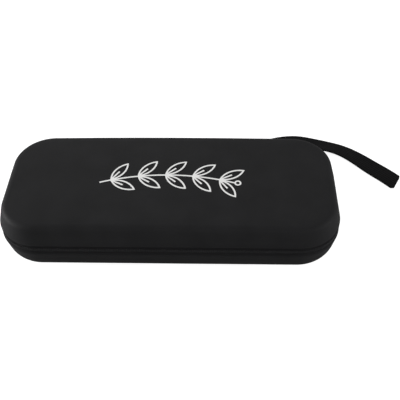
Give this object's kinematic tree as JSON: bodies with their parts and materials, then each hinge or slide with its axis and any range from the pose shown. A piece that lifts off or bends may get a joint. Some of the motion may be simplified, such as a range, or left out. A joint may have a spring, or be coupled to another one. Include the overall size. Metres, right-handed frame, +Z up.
{
  "type": "stethoscope hard case",
  "caption": "Long zipped hard case of moulded foam shells under black fabric, with a fabric hinge, a lid pocket, a retaining strap and a wrist strap.",
  "frame": {"origin": "on the floor under the middle of the closed case", "axes": "+X along the case, towards the end where the wrist strap leaves; +Y from the front to the hinged back; +Z up from the floor to the lid"},
  "size_m": [0.363, 0.1763, 0.0541],
  "materials": {
    "shell_fabric": "fine matt black woven fabric bonded to the moulded foam",
    "eva_foam": "black closed-cell EVA foam, cut edges matt",
    "lining": "black brushed knit lining, matt",
    "binding": "black grosgrain tape, fine cross ribs",
    "zip_tape": "black herringbone polyester tape",
    "zip_coil": "black nylon coil teeth, satin",
    "hinge_fabric": "black woven polyester strip",
    "slider_metal": "black enamelled zinc, semi-gloss",
    "webbing": "black polyester webbing, lengthwise ribs",
    "elastic": "black knitted elastic",
    "net": "black polyester net",
    "print_ink": "matt white screen-print ink"
  },
  "bodies": {
    "base": {"base_cover": "shell_fabric", "base_core": "eva_foam", "base_lining": "lining", "base_rim_binding": "binding", "base_zip_tape": "zip_tape", "base_zip_coil": "zip_coil", "zip_stops": "slider_metal", "zip_tail_tape_left": "zip_tape", "zip_tail_coil_left": "zip_coil", "zip_tail_tape_right": "zip_tape", "zip_tail_coil_right": "zip_coil", "hinge_web": "hinge_fabric", "hinge_lining": "lining", "retaining_strap_front": "webbing", "retaining_strap_rear": "webbing", "retaining_strap_tacks": "binding", "strap_anchor": "binding", "wrist_strap": "webbing"},
    "lid": {"lid_cover": "shell_fabric", "lid_core": "eva_foam", "lid_lining": "lining", "lid_rim_binding": "binding", "lid_zip_tape": "zip_tape", "lid_zip_coil": "zip_coil", "lid_print": "print_ink", "pocket_hem": "binding", "pocket_net": "net", "pocket_elastic": "elastic"},
    "slider": {"slider_body": "slider_metal", "slider_bridge": "slider_metal"},
    "pull": {"pull_tab": "slider_metal"}
  },
  "joints": [
    {"name": "lid_hinge", "type": "hinge", "parent": "base", "child": "lid", "pos_m": [0, 0.0629, 0.0291], "axis": [-1, 0, 0], "range_deg": [0, 180], "deforming": ["hinge_web", "hinge_lining", "zip_tail_tape_left", "zip_tail_coil_left", "zip_tail_tape_right", "zip_tail_coil_right"]},
    {"name": "slider_slide", "type": "slide", "parent": "base", "child": "slider", "axis": [-1, 0, 0], "range_m": [0, 0.029]},
    {"name": "pull_hinge", "type": "hinge", "parent": "slider", "child": "pull", "pos_m": [-0.0715, 0.0627, 0.0291], "axis": [0, 0, -1], "range_deg": [0, 180]}
  ]
}
